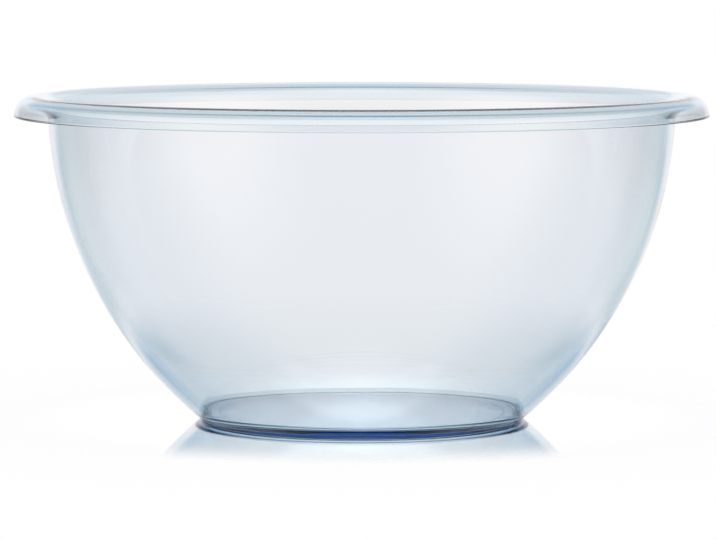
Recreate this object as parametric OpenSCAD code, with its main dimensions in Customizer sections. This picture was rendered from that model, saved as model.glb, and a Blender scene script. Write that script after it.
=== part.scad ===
// Clear glass salad bowl: a round wall on a low foot, with a rim that rolls outwards and down.
// Millimetres, +Z up, origin on the table at the middle of the foot.
// The glass is drawn as four stacked zones that meet on flat rings: foot ring, base, wall and rim.

/* [Overall] */
// Diameter over the rim
rim_d = 240; // [190:1:300]
// Height from the table to the crest of the rim
height = 112; // [90:1:140]

/* [Wall] */
// Wall thickness just under the rim
wall_top_t = 2.6; // [1.8:0.1:4]
// Wall thickness beside the base
wall_foot_t = 2.8; // [1.8:0.1:5]

/* [Base] */
// Diameter on which the foot stands
foot_d = 111.4; // [80:0.2:140]
// Width of the flat ring that touches the table
foot_ring_w = 6; // [3:0.5:12]
// Height of the hollow under the base
foot_ring_h = 0.5; // [0.4:0.1:2]
// Glass thickness of the base, above that hollow
base_t = 2.4; // [1.6:0.1:6]
// Radius of the cove where the inside floor turns up into the wall
cove_r = 6; // [3:0.5:12]

/* [Rim] */
// How far the rim stands out past the top of the wall
rim_overhang = 11.6; // [9.6:0.1:16]
// Depth of the rim, from its crest to its lower edge
rim_depth = 7.2; // [6:0.1:12]
// Glass thickness of the rolled rim
lip_t = 2.2; // [1.6:0.1:3.2]
// Radius of the rim's outer bend, from its crest to its skirt
nose_r = 6.3; // [4.5:0.1:7]
// Lean of the skirt that hangs from that bend, in degrees
skirt_lean = 13; // [5:1:20]
// Radius of the two edges at the foot of the skirt
hem_r = 0.5; // [0.3:0.1:0.7]

/* [Hidden] */
$fn = 96;
arc_steps = 10;
lead_steps = 2;
bend_lead = 1;
glass = [0.80, 0.88, 0.95, 0.55];
rim_r = rim_d / 2;
foot_r = foot_d / 2;
wall_r = rim_r - rim_overhang;

// Outside of the wall: one arc, upright at the height of the crest, that lands on the foot
outer_centre = [(wall_r * wall_r - foot_r * foot_r - height * height) / (2 * (wall_r - foot_r)), height];
outer_r = wall_r - outer_centre.x;

// Inside of the wall: a smaller arc, lifted so that the glass thickens towards the base
inner_lift = (wall_foot_t - wall_top_t) * outer_r / height;
inner_centre = outer_centre + [0, inner_lift];
inner_r = outer_r - wall_top_t;

// Cove: a circle that sits in the corner between the inside floor and the inner arc
floor_z = foot_ring_h + base_t;
cove_centre = circle_beside(inner_centre, inner_r - cove_r, floor_z + cove_r);
cove_end = angle_to(inner_centre, cove_centre);
base_top_z = (inner_centre + inner_r * ray(cove_end)).y;

// Skirt: its outer edge reaches the full diameter, and its two faces lean together
skirt_normal = ray(skirt_lean);
outer_hem = [rim_r - hem_r, height - rim_depth + hem_r];
inner_hem = outer_hem + [(2 * hem_r - lip_t) / skirt_normal.x, 0];

// Nose: a bend that touches the skirt's outer face, with the crest of the rim at its top
nose_z = height - nose_r;
nose_reach = (outer_hem.y - nose_z) * skirt_normal.y + hem_r - nose_r;
nose_centre = [outer_hem.x + nose_reach / skirt_normal.x, nose_z];

// Flare: a bend from the inside of the wall up to the crest, and the groove under it
flare_r = bend_radius(inner_centre, inner_r, [nose_centre.x, height]);
flare_centre = [nose_centre.x, height - flare_r];
flare_end = angle_to(inner_centre, flare_centre);
groove_r = bend_radius(outer_centre, outer_r, [nose_centre.x, height - lip_t]);
groove_centre = [nose_centre.x, height - lip_t - groove_r];
groove_end = angle_to(outer_centre, groove_centre);

// Top of the wall: on a whole millimetre just under the lower of those two bends
groove_start_z = (outer_centre + outer_r * ray(groove_end)).y;
flare_start_z = (inner_centre + inner_r * ray(flare_end)).y;
wall_top_z = floor(min(groove_start_z, flare_start_z) - bend_lead);

// Unit vector at an angle
function ray(angle) = [cos(angle), sin(angle)];

// Angle of the line from one point to another
function angle_to(from, to) = atan2(to.y - from.y, to.x - from.x);

// Centre of a circle at height z whose distance from another centre is given, on its right
function circle_beside(centre, distance, z) =
    [centre.x + sqrt(distance * distance - (z - centre.y) * (z - centre.y)), z];

// Radius of a circle that touches an arc from outside and has its own top at a given point
function bend_radius(centre, radius, top) =
    let (offset = top - centre) (offset * offset - radius * radius) / (2 * (radius + offset.y));

// Angle at which an arc passes height z, on its right
function angle_at(centre, radius, z) = asin((z - centre.y) / radius);

// Points along an arc, from one angle to another
function arc(centre, radius, from, to, steps = arc_steps) =
    [for (i = [0:steps]) centre + radius * ray(from + (to - from) * i / steps)];

// Flat ring that carries the bowl, its flank in line with the wall
module foot_ring() {
    flank_top = outer_centre + outer_r * ray(angle_at(outer_centre, outer_r, foot_ring_h));
    color(glass)
        rotate_extrude()
            polygon([[foot_r - foot_ring_w, 0], [foot_r, 0], flank_top, [foot_r - foot_ring_w, foot_ring_h]]);
}

// Floor of the bowl, turned up at its edge to meet the wall
module base() {
    flank_from = angle_at(outer_centre, outer_r, foot_ring_h);
    flank_to = angle_at(outer_centre, outer_r, base_top_z);
    color(glass)
        rotate_extrude()
            polygon(concat(
                [[0, foot_ring_h]],
                arc(outer_centre, outer_r, flank_from, flank_to),
                arc(cove_centre, cove_r, cove_end, -90),
                [[0, floor_z]]));
}

// Curved side of the bowl, between two arcs
module wall() {
    color(glass)
        rotate_extrude()
            intersection() {
                difference() {
                    translate(outer_centre) circle(outer_r);
                    translate(inner_centre) circle(inner_r);
                }
                translate([0, base_top_z]) square([rim_r, wall_top_z - base_top_z]);
            }
}

// Rolled rim: the top of the wall, bent outwards over a groove and down into a short skirt
module rim() {
    outer_from = angle_at(outer_centre, outer_r, wall_top_z);
    inner_from = angle_at(inner_centre, inner_r, wall_top_z);
    color(glass)
        rotate_extrude()
            polygon(concat(
                arc(outer_centre, outer_r, outer_from, groove_end, lead_steps),
                arc(groove_centre, groove_r, groove_end + 180, 90),
                arc(nose_centre, nose_r - lip_t, 90, skirt_lean),
                arc(inner_hem, hem_r, skirt_lean + 180, 270),
                arc(outer_hem, hem_r, -90, skirt_lean),
                arc(nose_centre, nose_r, skirt_lean, 90),
                arc(flare_centre, flare_r, 90, flare_end + 180),
                arc(inner_centre, inner_r, flare_end, inner_from, lead_steps)));
}

foot_ring();
base();
wall();
rim();
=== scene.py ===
import math

import bpy
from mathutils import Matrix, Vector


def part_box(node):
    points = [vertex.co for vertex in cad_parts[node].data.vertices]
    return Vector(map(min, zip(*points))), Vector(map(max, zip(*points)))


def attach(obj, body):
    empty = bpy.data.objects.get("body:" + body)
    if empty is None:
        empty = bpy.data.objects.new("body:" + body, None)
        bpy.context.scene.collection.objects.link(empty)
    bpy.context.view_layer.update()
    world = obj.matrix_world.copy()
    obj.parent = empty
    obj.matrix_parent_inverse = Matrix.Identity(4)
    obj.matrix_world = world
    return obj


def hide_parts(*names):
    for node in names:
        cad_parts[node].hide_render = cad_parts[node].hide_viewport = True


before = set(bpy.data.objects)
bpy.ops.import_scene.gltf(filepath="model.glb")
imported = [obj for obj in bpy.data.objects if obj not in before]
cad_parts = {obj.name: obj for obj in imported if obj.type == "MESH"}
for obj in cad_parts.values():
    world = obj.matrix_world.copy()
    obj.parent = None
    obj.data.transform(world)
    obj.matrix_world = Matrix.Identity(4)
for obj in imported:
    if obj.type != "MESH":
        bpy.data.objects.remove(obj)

scene = bpy.context.scene
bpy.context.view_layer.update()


# Bowl: one piece of clear soda-lime glass with a faint blue tint. It is pressed between an outer mould
# and a plunger and then fire-polished, so the foot, base, wall and rim run into each other without a
# joint. One unbroken skin therefore stands for the four zones of the frame.
MM = 0.001
SAME_LEVEL = 0.01 * MM


def ring(node, z):
    """Smallest and largest radius of a frame node's corners at one height."""
    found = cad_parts[node].data.vertices
    radii = [math.hypot(v.co.x, v.co.y) for v in found if abs(v.co.z - z) < SAME_LEVEL]
    return min(radii), max(radii)


def ray(degrees):
    """Unit vector at an angle, in the plane of the outline."""
    return math.cos(math.radians(degrees)), math.sin(math.radians(degrees))


END_GAP = 0.03 * MM
COARSE = 1 * MM
FEWEST_STEPS = 6


def arc(centre, radius, start, end, spacing):
    """Points along an arc of the outline, one spacing apart; a coarse arc has one close to each end."""
    length = radius * math.radians(abs(end - start))
    steps = max(FEWEST_STEPS, math.ceil(length / spacing))
    shares = [i / steps for i in range(steps + 1)]
    if spacing > COARSE:
        shares[1:1] = [END_GAP / length]
        shares[-1:-1] = [1 - END_GAP / length]
    angles = [start + (end - start) * s for s in shares]
    return [(centre[0] + radius * ray(a)[0], centre[1] + radius * ray(a)[1]) for a in angles]


def eased(before, corner, after, radius):
    """An arc that rounds off one corner of the outline, between the two points beside it."""
    ways = []
    for point in (before, after):
        length = math.hypot(point[0] - corner[0], point[1] - corner[1])
        ways.append(((point[0] - corner[0]) / length, (point[1] - corner[1]) / length))
    half = math.acos(ways[0][0] * ways[1][0] + ways[0][1] * ways[1][1]) / 2
    middle = (ways[0][0] + ways[1][0], ways[0][1] + ways[1][1])
    reach = radius / math.sin(half) / math.hypot(*middle)
    centre = (corner[0] + middle[0] * reach, corner[1] + middle[1] * reach)
    ends = []
    for way in ways:
        touch = [corner[i] + way[i] * radius / math.tan(half) - centre[i] for i in (0, 1)]
        ends.append(math.degrees(math.atan2(touch[1], touch[0])))
    turn = (ends[1] - ends[0] + 180) % 360 - 180
    return arc(centre, radius, ends[0], ends[0] + turn, radius / FEWEST_STEPS)


def circle_beside(centre, distance, z):
    """Centre, at height z, of a circle that lies a distance from another centre, on its right."""
    return centre[0] + math.sqrt(distance ** 2 - (z - centre[1]) ** 2), z


def bend_radius(centre, radius, top):
    """Radius of a circle that touches an arc from outside and has its own top at a given point."""
    across, up = top[0] - centre[0], top[1] - centre[1]
    return (across ** 2 + up ** 2 - radius ** 2) / (2 * (radius + up))


def angle_to(start, end):
    """Angle of the line from one point of the outline to another."""
    return math.degrees(math.atan2(end[1] - start[1], end[0] - start[0]))


# Heights and radii that the frame gives
HOLLOW_CLEAR = 0.1 * MM
foot_low, foot_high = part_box("foot_ring")
wall_low, wall_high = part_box("wall")
rim_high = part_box("rim")[1]
height = rim_high.z
rim_r = max(rim_high.x, rim_high.y)
foot_in_r, foot_r = ring("foot_ring", foot_low.z)
wall_foot_in_r = ring("wall", wall_low.z)[0]
wall_top_in_r, wall_top_r = ring("wall", wall_high.z)
floor_z = min(
    v.co.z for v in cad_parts["base"].data.vertices
    if v.co.z > foot_high.z + HOLLOW_CLEAR and math.hypot(v.co.x, v.co.y) < wall_foot_in_r)

# The two arcs of the wall, upright near the crest and found from the wall's own rings
outer_x = (
    wall_top_r ** 2 - foot_r ** 2 + (wall_high.z - height) ** 2 - height ** 2
) / (2 * (wall_top_r - foot_r))
outer_centre = (outer_x, height)
outer_r = math.hypot(foot_r - outer_x, height)
inner_z = (
    (wall_top_in_r - outer_x) ** 2 + wall_high.z ** 2 - (wall_foot_in_r - outer_x) ** 2 - wall_low.z ** 2
) / (2 * (wall_high.z - wall_low.z))
inner_centre = (outer_x, inner_z)
inner_r = math.hypot(wall_top_in_r - outer_x, wall_high.z - inner_z)

# The rim: the wall flares out to a crest, bends over the nose and hangs down as a short skirt
RIM_DEPTH = 7.2 * MM
LIP_T = 2.2 * MM
NOSE_R = 6.3 * MM
SKIRT_LEAN = 13
HEM_R = 0.5 * MM
skirt_way = ray(SKIRT_LEAN)
outer_hem = (rim_r - HEM_R, height - RIM_DEPTH + HEM_R)
inner_hem = (outer_hem[0] + (2 * HEM_R - LIP_T) / skirt_way[0], outer_hem[1])
nose_z = height - NOSE_R
nose_reach = (outer_hem[1] - nose_z) * skirt_way[1] + HEM_R - NOSE_R
nose_centre = (outer_hem[0] + nose_reach / skirt_way[0], nose_z)
flare_r = bend_radius(inner_centre, inner_r, (nose_centre[0], height))
flare_centre = (nose_centre[0], height - flare_r)
groove_r = bend_radius(outer_centre, outer_r, (nose_centre[0], height - LIP_T))
groove_centre = (nose_centre[0], height - LIP_T - groove_r)

# The base: a cove round the inside floor, and a foot ring with its edges melted a little round
COVE_R = 6 * MM
FOOT_EDGE_R = 0.12 * MM
HOLLOW_EDGE_R = 0.22 * MM
cove_centre = circle_beside(inner_centre, inner_r - COVE_R, floor_z + COVE_R)

FINE = 0.3 * MM
HEM_SPACING = 0.08 * MM
WALL_SPACING = 2.4 * MM
FLAT_SPACING = 6 * MM
FLANK_LENGTH = 4 * MM
FLANK_LEAD = 1


def flat(start, end):
    """Points along a straight stretch of the outline, one close to each end to keep it flat up to there."""
    length = math.hypot(end[0] - start[0], end[1] - start[1])
    steps = math.ceil(length / FLAT_SPACING)
    shares = [END_GAP / length] + [i / steps for i in range(1, steps)] + [1 - END_GAP / length]
    return [(start[0] + (end[0] - start[0]) * s, start[1] + (end[1] - start[1]) * s) for s in shares]


hollow_edge = eased((0, foot_high.z), (foot_in_r, foot_high.z), (foot_in_r, 0), HOLLOW_EDGE_R)
foot_inner = eased((foot_in_r, foot_high.z), (foot_in_r, 0), (foot_r, 0), HOLLOW_EDGE_R)
flank_start = angle_to(outer_centre, (foot_r, 0))
flank_next = arc(outer_centre, outer_r, flank_start, flank_start + FLANK_LEAD, FINE)[-1]
foot_outer = eased((foot_in_r, 0), (foot_r, 0), flank_next, FOOT_EDGE_R)
flank_end = angle_to(outer_centre, foot_outer[-1]) + math.degrees(FLANK_LENGTH / outer_r)
flank = arc(outer_centre, outer_r, angle_to(outer_centre, foot_outer[-1]), flank_end, FINE)
outer_wall = arc(outer_centre, outer_r, flank_end, angle_to(outer_centre, groove_centre), WALL_SPACING)
groove = arc(groove_centre, groove_r, angle_to(groove_centre, outer_centre) % 360, 90, FINE)
under_nose = arc(nose_centre, NOSE_R - LIP_T, 90, SKIRT_LEAN, FINE)
skirt_inner = arc(inner_hem, HEM_R, SKIRT_LEAN + 180, 270, HEM_SPACING)
skirt_outer = arc(outer_hem, HEM_R, -90, SKIRT_LEAN, HEM_SPACING)
nose = arc(nose_centre, NOSE_R, SKIRT_LEAN, 90, FINE)
flare = arc(flare_centre, flare_r, 90, angle_to(flare_centre, inner_centre) % 360, FINE)
inner_wall = arc(inner_centre, inner_r, angle_to(inner_centre, flare_centre),
                 angle_to(inner_centre, cove_centre), WALL_SPACING)
cove = arc(cove_centre, COVE_R, angle_to(inner_centre, cove_centre), -90, FINE)

outline = [(0, foot_high.z)]
outline += flat(outline[-1], hollow_edge[0])
outline += hollow_edge + foot_inner
outline += flat(foot_inner[-1], foot_outer[0])
outline += foot_outer + flank[1:] + outer_wall[1:] + groove[1:] + under_nose[1:]
outline += flat(under_nose[-1], skirt_inner[0]) + skirt_inner
outline += flat(skirt_inner[-1], skirt_outer[0]) + skirt_outer
outline += flat(skirt_outer[-1], nose[0]) + nose + flare[1:]
inner_first = len(outline)
outline += inner_wall[1:-1]
inner_last = len(outline)
outline += cove
outline += flat(cove[-1], (0, floor_z))
outline += [(0, floor_z)]

# The plunger leaves the inside of the wall very slightly uneven, in slow waves round and down it
WAVE = 0.03 * MM
WAVES_ROUND = (7, 12)
WAVES_DOWN = (2.0, 3.1)
TURNS = 288
corners = [(0, 0, outline[0][1]), (0, 0, outline[-1][1])]
rows = outline[1:-1]
for row, (r, z) in enumerate(rows, 1):
    down = (row - inner_first) / (inner_last - inner_first)
    depth = math.sin(math.pi * down) ** 2 if 0 < down < 1 else 0
    for i in range(TURNS):
        angle = 2 * math.pi * i / TURNS
        wave = math.sin(WAVES_ROUND[0] * angle + WAVES_DOWN[0] * math.pi * down)
        wave += math.sin(WAVES_ROUND[1] * angle - WAVES_DOWN[1] * math.pi * down)
        pressed = r + WAVE * depth * wave / 2
        corners.append((pressed * math.cos(angle), pressed * math.sin(angle), z))


def at(row, step):
    """Number of a corner of the mesh, counted row by row after the two on its axis."""
    return 2 + row * TURNS + step % TURNS


faces = [(0, at(0, i + 1), at(0, i)) for i in range(TURNS)]
for row in range(len(rows) - 1):
    faces += [(at(row, i), at(row, i + 1), at(row + 1, i + 1), at(row + 1, i)) for i in range(TURNS)]
faces += [(1, at(len(rows) - 1, i), at(len(rows) - 1, i + 1)) for i in range(TURNS)]
glass_mesh = bpy.data.meshes.new("bowl_glass")
glass_mesh.from_pydata(corners, [], faces)
glass_mesh.shade_smooth()
bowl = bpy.data.objects.new("bowl_glass", glass_mesh)
scene.collection.objects.link(bowl)


def linear(hexcode):
    """A colour written as sRGB hex, as the linear values that shaders take."""
    values = [int(hexcode[i:i + 2], 16) / 255 for i in (0, 2, 4)]
    return [v / 12.92 if v <= 0.04045 else ((v + 0.055) / 1.055) ** 2.4 for v in values] + [1]


def add(tree, kind, settings=None, links=None):
    """Adds one node: settings go on its properties or sockets, links on its input sockets."""
    made = tree.nodes.new(kind)
    for name, value in (settings or {}).items():
        if isinstance(name, str) and hasattr(made, name):
            setattr(made, name, value)
        else:
            made.inputs[name].default_value = value
    for name, source in (links or {}).items():
        tree.links.new(source, made.inputs[name])
    return made


def product(tree, sources, fades):
    """Strength of a mark, shade or light, as soft fades multiplied together.

    Each fade gives its source, the two ends of the source's range and the strength at those ends.
    """
    level = None
    for source, begin, end, low, high in fades:
        fade = add(tree, "ShaderNodeMapRange", {
            "interpolation_type": "SMOOTHSTEP", "From Min": begin, "From Max": end,
            "To Min": low, "To Max": high}, {"Value": sources[source]}).outputs[0]
        if level:
            fade = add(tree, "ShaderNodeMath", {"operation": "MULTIPLY"}, {0: level, 1: fade}).outputs[0]
        level = fade
    return level


# Soda-lime glass: clear through the thin wall, and blue where the light runs along the glass, as it does
# in the base and in the crown of the rim. The flat of the foot is dulled by small scuffs from the table.
GLASS_IOR = 1.52
GLASS_TINT = "6CAEDA"
TINT_DENSITY = 40.0
SCUFF_SIZE = 2.5 * MM
SCUFF_DETAIL = 3.0
SCUFF_ROUGHNESS = 0.12
SCUFF_FADES = (("height", 0.04 * MM, 0.15 * MM, 1, 0), ("noise", 0.52, 0.66, 0, SCUFF_ROUGHNESS))
glass = bpy.data.materials.new("pressed_soda_lime_glass")
glass.use_nodes = True
tree = glass.node_tree
tree.nodes.clear()
spot = add(tree, "ShaderNodeTexCoord").outputs["Object"]
spot_parts = add(tree, "ShaderNodeSeparateXYZ", None, {0: spot})
noise = add(tree, "ShaderNodeTexNoise", {"Scale": 1 / SCUFF_SIZE, "Detail": SCUFF_DETAIL}, {"Vector": spot})
scuffs = product(tree, {"height": spot_parts.outputs["Z"], "noise": noise.outputs[0]}, SCUFF_FADES)
body = add(tree, "ShaderNodeBsdfPrincipled", {
    "Base Color": (1, 1, 1, 1), "IOR": GLASS_IOR, "Transmission Weight": 1.0}, {"Roughness": scuffs})
tint = add(tree, "ShaderNodeVolumeAbsorption", {"Color": linear(GLASS_TINT), "Density": TINT_DENSITY})
add(tree, "ShaderNodeOutputMaterial", None, {"Surface": body.outputs[0], "Volume": tint.outputs[0]})
glass_mesh.materials.append(glass)

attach(bowl, "root")
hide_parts("foot_ring", "base", "wall", "rim")


# Table: a pale lacquered board, polished where the bowl stands. At a low angle the glass is mirrored in it
# close to the foot, and the mirror image fades out a hand's width from the middle. The board's left and
# right sides lie in shade, which only the glass shows; the camera sees the board plain white.
TABLE_HALF = 3.0
TABLE_GAP = 0.01 * MM
MATT_COLOUR = "F4F5F6"
CONTACT_FADES = (("reach", 100 * MM, 400 * MM, 0.05, 0),)
MIRROR_ROUGHNESS = 0.01
POLISH_FADES = (("reach", 90 * MM, 140 * MM, 1, 0),)
LOW_SIGHT_FADES = (("slant", 0.76, 0.85, 0, 1),)
BOARD_COLOUR = "FFFCFB"
SHADE_COLOUR = "BED0D3"
SHADE_FADES = (
    ("turn", 24, 39, 0, 1), ("turn", 60, 96, 1, 0), ("reach", 110 * MM, 180 * MM, 0, 1),
    ("reach", 250 * MM, 800 * MM, 0.6, 1))

# Sockets of a mix node that is set to mix colours
MIX_A = 6
MIX_B = 7
MIX_RESULT = 2

table_mesh = bpy.data.meshes.new("table")
table_mesh.from_pydata(
    [(x * TABLE_HALF, y * TABLE_HALF, -TABLE_GAP) for x, y in ((-1, -1), (1, -1), (1, 1), (-1, 1))],
    [], [(0, 1, 2, 3)])
table = bpy.data.objects.new("table", table_mesh)
scene.collection.objects.link(table)

lacquer = bpy.data.materials.new("pale_lacquered_board")
lacquer.use_nodes = True
tree = lacquer.node_tree
tree.nodes.clear()


def bearing(tree, way):
    """Degrees that a direction is turned to either side from straight behind the bowl."""
    split = add(tree, "ShaderNodeSeparateXYZ", None, {0: way})
    aside = add(tree, "ShaderNodeMath", {"operation": "ABSOLUTE"}, {0: split.outputs["X"]})
    turn = add(tree, "ShaderNodeMath", {"operation": "ARCTAN2"}, {0: aside.outputs[0], 1: split.outputs["Y"]})
    return add(tree, "ShaderNodeMath", {"operation": "DEGREES"}, {0: turn.outputs[0]}).outputs[0]


place = add(tree, "ShaderNodeTexCoord")
reach = add(tree, "ShaderNodeVectorMath", {"operation": "LENGTH"}, {0: place.outputs["Object"]})
table_sources = {"turn": bearing(tree, place.outputs["Object"]), "reach": reach.outputs["Value"]}
matt = add(tree, "ShaderNodeBsdfDiffuse", {"Color": linear(MATT_COLOUR)})
table_path = add(tree, "ShaderNodeLightPath")
unseen = add(tree, "ShaderNodeMath", {"operation": "SUBTRACT", 0: 1.0}, {
    1: table_path.outputs["Is Camera Ray"]})
shade = add(tree, "ShaderNodeMath", {"operation": "MULTIPLY"}, {
    0: product(tree, table_sources, SHADE_FADES), 1: unseen.outputs[0]})
warm = add(tree, "ShaderNodeMix", {
    "data_type": "RGBA", MIX_A: (1, 1, 1, 1), MIX_B: linear(BOARD_COLOUR)}, {0: unseen.outputs[0]})
tone = add(tree, "ShaderNodeMix", {"data_type": "RGBA", MIX_B: linear(SHADE_COLOUR)}, {
    0: shade.outputs[0], MIX_A: warm.outputs[MIX_RESULT]})
pale = add(tree, "ShaderNodeEmission", {"Strength": 1.0}, {"Color": tone.outputs[MIX_RESULT]})
contact = product(tree, table_sources, CONTACT_FADES)
resting = add(tree, "ShaderNodeMixShader", None, {0: contact, 1: pale.outputs[0], 2: matt.outputs[0]})
mirror = add(tree, "ShaderNodeBsdfGlossy", {"Color": (1, 1, 1, 1), "Roughness": MIRROR_ROUGHNESS})
polish = product(tree, table_sources, POLISH_FADES)
slant = add(tree, "ShaderNodeLayerWeight", {"Blend": 0.5}).outputs["Facing"]
low_sight = product(tree, {"slant": slant}, LOW_SIGHT_FADES)
mirrored = add(tree, "ShaderNodeMath", {"operation": "MAXIMUM"}, {0: low_sight, 1: unseen.outputs[0]})
shown_polish = add(tree, "ShaderNodeMath", {"operation": "MULTIPLY"}, {0: polish, 1: mirrored.outputs[0]})
surface = add(tree, "ShaderNodeMixShader", None, {
    0: shown_polish.outputs[0], 1: resting.outputs[0], 2: mirror.outputs[0]})
add(tree, "ShaderNodeOutputMaterial", None, {"Surface": surface.outputs[0]})
table_mesh.materials.append(lacquer)


# Studio: a white backdrop behind the bowl, with blue wings beside it and a blue panel above it, in a dim
# room that gives the glass its darker edges. Two tall soft boxes stand left and right of the camera, and a
# long one hangs overhead. The camera and the table's matt share see plain white all round.
ROOM_COLOUR = "101420"
BOX_TURN = 119.5
STRIP_MIDDLE = 0.07
STRIP_HALF = (0.41, 0.12)

# Each light's colour, how it joins those before it, and its fades. Turn and lift are degrees from straight
# behind the bowl and from level, off_box is degrees from a soft box, and off_strip is 1 at the strip's edge.
LIGHTS = {
    "upper_room": ("7CA0A8", "ADD", (("lift", 6, 13, 0, 1),)),
    "near_room": ("FFDDB8", "ADD", (("turn", 74, 120, 0, 0.38),)),
    "backdrop": ("FFFFFF", "MIX", (
        ("turn", 10, 44, 1, 0), ("lift", 11, 14, 1, 0.69), ("lift", 42, 60, 1, 0))),
    "soft_boxes": ("FFE6D0", "ADD", (("off_box", 0, 45, 1.3, 0), ("lift", 0, 61, 1, 0))),
    "blue_panel": ("2A66B8", "MIX", (
        ("lift", 56, 64, 0, 0.85), ("lift", 78, 84, 1, 0), ("turn", 14, 40, 1, 0))),
    "blue_wings": ("94BAD8", "MIX", (
        ("turn", 13, 24, 0, 0.55), ("turn", 40, 58, 1, 0), ("lift", 13, 17, 0, 1), ("lift", 26, 34, 1, 0))),
    "ceiling": ("FAFFF5", "ADD", (("lift", 70, 90, 0, 0.56),)),
    "overhead_strip": ("FAFFF5", "ADD", (("off_strip", 0.7, 1.3, 0.88, 0),)),
}
world = bpy.data.worlds.new("studio")
scene.world = world
world.use_nodes = True
tree = world.node_tree
tree.nodes.clear()
way = add(tree, "ShaderNodeTexCoord").outputs["Generated"]
turn = bearing(tree, way)
way_parts = add(tree, "ShaderNodeSeparateXYZ", None, {0: way})
rise = add(tree, "ShaderNodeMath", {"operation": "ARCSINE"}, {0: way_parts.outputs["Z"]})
lift = add(tree, "ShaderNodeMath", {"operation": "DEGREES"}, {0: rise.outputs[0]})
from_box = add(tree, "ShaderNodeMath", {"operation": "SUBTRACT", 1: BOX_TURN}, {0: turn})
off_box = add(tree, "ShaderNodeMath", {"operation": "ABSOLUTE"}, {0: from_box.outputs[0]})
from_strip = add(tree, "ShaderNodeVectorMath", {
    "operation": "MULTIPLY_ADD", 1: (1 / STRIP_HALF[0], 1 / STRIP_HALF[1], 0),
    2: (0, -STRIP_MIDDLE / STRIP_HALF[1], 0)}, {0: way})
off_strip = add(tree, "ShaderNodeVectorMath", {"operation": "LENGTH"}, {0: from_strip.outputs[0]})
sky_sources = {"turn": turn, "lift": lift.outputs[0], "off_box": off_box.outputs[0],
               "off_strip": off_strip.outputs["Value"]}
room = add(tree, "ShaderNodeRGB")
room.outputs[0].default_value = linear(ROOM_COLOUR)
seen = room.outputs[0]
for colour, blend, fades in LIGHTS.values():
    seen = add(tree, "ShaderNodeMix", {"data_type": "RGBA", "blend_type": blend, MIX_B: linear(colour)}, {
        0: product(tree, sky_sources, fades), MIX_A: seen}).outputs[MIX_RESULT]
sky_path = add(tree, "ShaderNodeLightPath")
plain = add(tree, "ShaderNodeMath", {"operation": "MAXIMUM"}, {
    0: sky_path.outputs["Is Camera Ray"], 1: sky_path.outputs["Is Diffuse Ray"]})
shown = add(tree, "ShaderNodeMix", {"data_type": "RGBA", MIX_B: (1, 1, 1, 1)}, {
    0: plain.outputs[0], MIX_A: seen})
sky = add(tree, "ShaderNodeBackground", {"Strength": 1.0}, {"Color": shown.outputs[MIX_RESULT]})
add(tree, "ShaderNodeOutputWorld", None, {"Surface": sky.outputs[0]})

# Light runs a long way inside the base and the rim before it leaves the glass
INNER_BOUNCES = 48
scene.cycles.max_bounces = INNER_BOUNCES
scene.cycles.glossy_bounces = INNER_BOUNCES
scene.cycles.transmission_bounces = INNER_BOUNCES
scene.view_settings.view_transform = "Standard"


# Camera: a long lens about 1.6 m in front of the bowl, a little above its rim and almost level, as the
# picture was taken. Its width in pixels is only used to turn the measured focal length into millimetres.
CAMERA_AWAY = 1.622
CAMERA_HEIGHT = 180.5 * MM
CAMERA_LEFT = 1.3 * MM
CAMERA_DOWN = 4.553
FOCAL_PIXELS = 4697
FRAME_PIXELS = 716
SENSOR_WIDTH = 36
camera_data = bpy.data.cameras.new("camera")
camera_data.sensor_width = SENSOR_WIDTH
camera_data.lens = FOCAL_PIXELS * SENSOR_WIDTH / FRAME_PIXELS
camera = bpy.data.objects.new("camera", camera_data)
camera.location = (-CAMERA_LEFT, -CAMERA_AWAY, CAMERA_HEIGHT)
camera.rotation_euler = (math.radians(90 - CAMERA_DOWN), 0, 0)
scene.collection.objects.link(camera)
scene.camera = camera
